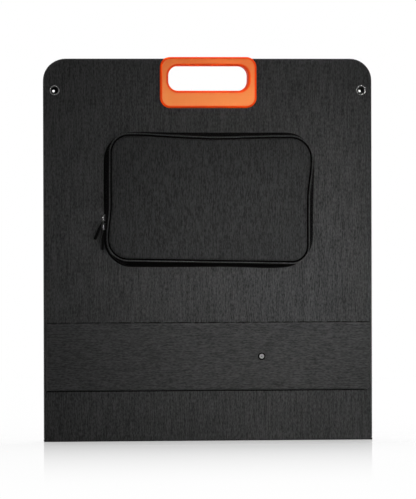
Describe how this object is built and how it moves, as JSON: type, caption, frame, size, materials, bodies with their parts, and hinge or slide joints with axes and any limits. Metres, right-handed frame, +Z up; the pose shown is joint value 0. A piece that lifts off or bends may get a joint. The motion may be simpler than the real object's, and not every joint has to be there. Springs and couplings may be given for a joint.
{
  "type": "folding solar suitcase",
  "caption": "Fabric-covered folding solar panel case with moulded carry handles, zipped pocket, fold-out stand flaps and crystalline cells on the inner faces.",
  "frame": {"origin": "centre of the flat underside of the spine that the closed case stands on", "axes": "+Z up from the spine to the handles, -Y towards the leaf with the pocket, +X to the right as seen from the front"},
  "size_m": [0.543, 0.0554, 0.6327],
  "materials": {
    "cover_fabric": "heather charcoal woven polyester",
    "stand_fabric": "heather charcoal woven polyester, weave along the flap",
    "lining_fabric": "plain black woven lining",
    "core_board": "bare board",
    "backsheet": "matt black",
    "solar_cell": "dark blue silicon",
    "clear_film": "clear, slightly textured",
    "handle_plastic": "satin orange moulding",
    "magnet_nickel": "nickel plated",
    "eyelet_nickel": "nickel plated",
    "snap_nickel": "dull nickel",
    "piping_fabric": "corded edge in charcoal fabric",
    "zip_tape": "black woven tape and coil",
    "slider_metal": "dark nickel",
    "pull_rubber": "black moulded tab",
    "box_plastic": "black moulding",
    "link_copper": "bare copper strip"
  },
  "bodies": {
    "spine": {"spine_cover": "cover_fabric", "module_link": "link_copper", "spine_lining": "lining_fabric"},
    "front_leaf": {"front_cover": "cover_fabric", "front_board": "core_board", "front_lining": "lining_fabric", "front_backsheet": "backsheet", "front_cell_string": "solar_cell", "front_clear_film": "clear_film", "front_handle_outer": "handle_plastic", "front_handle_inner": "handle_plastic", "front_magnet_left": "magnet_nickel", "front_magnet_right": "magnet_nickel", "front_eyelet_left": "eyelet_nickel", "front_eyelet_right": "eyelet_nickel", "front_washer_left": "eyelet_nickel", "front_washer_right": "eyelet_nickel", "front_snap_stud": "snap_nickel", "pocket_tray": "cover_fabric", "zip_tape_tray": "zip_tape", "junction_box_base": "box_plastic", "junction_box_lid": "box_plastic", "cable_gland": "box_plastic"},
    "rear_leaf": {"rear_cover": "cover_fabric", "rear_board": "core_board", "rear_lining": "lining_fabric", "rear_backsheet": "backsheet", "rear_cell_string": "solar_cell", "rear_clear_film": "clear_film", "rear_handle_outer": "handle_plastic", "rear_handle_inner": "handle_plastic", "rear_magnet_left": "magnet_nickel", "rear_magnet_right": "magnet_nickel", "rear_eyelet_left": "eyelet_nickel", "rear_eyelet_right": "eyelet_nickel", "rear_washer_left": "eyelet_nickel", "rear_washer_right": "eyelet_nickel", "rear_snap_stud": "snap_nickel"},
    "front_stand": {"front_stand_cover": "stand_fabric", "front_stand_board": "core_board", "front_stand_lining": "lining_fabric", "front_snap_cap": "snap_nickel"},
    "rear_stand": {"rear_stand_cover": "stand_fabric", "rear_stand_board": "core_board", "rear_stand_lining": "lining_fabric", "rear_snap_cap": "snap_nickel"},
    "pocket_lid": {"pocket_lid": "cover_fabric", "zip_tape_lid": "zip_tape", "pocket_piping": "piping_fabric"},
    "upper_slider": {"zip_slider_upper": "slider_metal"},
    "lower_slider": {"zip_slider_lower": "slider_metal"},
    "upper_pull": {"zip_pull_upper": "pull_rubber"},
    "lower_pull": {"zip_pull_lower": "pull_rubber"}
  },
  "joints": [
    {"name": "front_fold", "type": "hinge", "parent": "spine", "child": "front_leaf", "pos_m": [0, -0.0118, 0.00375], "axis": [1, 0, 0], "range_deg": [0, 90]},
    {"name": "rear_fold", "type": "hinge", "parent": "spine", "child": "rear_leaf", "pos_m": [0, 0.0118, 0.00375], "axis": [-1, 0, 0], "range_deg": [0, 90]},
    {"name": "front_stand_swing", "type": "hinge", "parent": "front_leaf", "child": "front_stand", "pos_m": [0, -0.0138, 0.1926], "axis": [-1, 0, 0], "range_deg": [0, 110]},
    {"name": "rear_stand_swing", "type": "hinge", "parent": "rear_leaf", "child": "rear_stand", "pos_m": [0, 0.0138, 0.1926], "axis": [1, 0, 0], "range_deg": [0, 110]},
    {"name": "pocket_lid_open", "type": "hinge", "parent": "front_leaf", "child": "pocket_lid", "pos_m": [0, -0.0243, 0.28983], "axis": [1, 0, 0], "range_deg": [0, 100]},
    {"name": "upper_slider_travel", "type": "slide", "parent": "front_leaf", "child": "upper_slider", "axis": [0, 0, 1], "range_m": [0, 0.1]},
    {"name": "lower_slider_travel", "type": "slide", "parent": "front_leaf", "child": "lower_slider", "axis": [0, 0, -1], "range_m": [0, 0.026]},
    {"name": "upper_pull_swing", "type": "hinge", "parent": "upper_slider", "child": "upper_pull", "pos_m": [-0.17447, -0.0243, 0.3683], "axis": [0, 1, 0], "range_deg": [-4, 110]},
    {"name": "lower_pull_swing", "type": "hinge", "parent": "lower_slider", "child": "lower_pull", "pos_m": [-0.17447, -0.0243, 0.3541], "axis": [0, 1, 0], "range_deg": [-4, 16]}
  ]
}
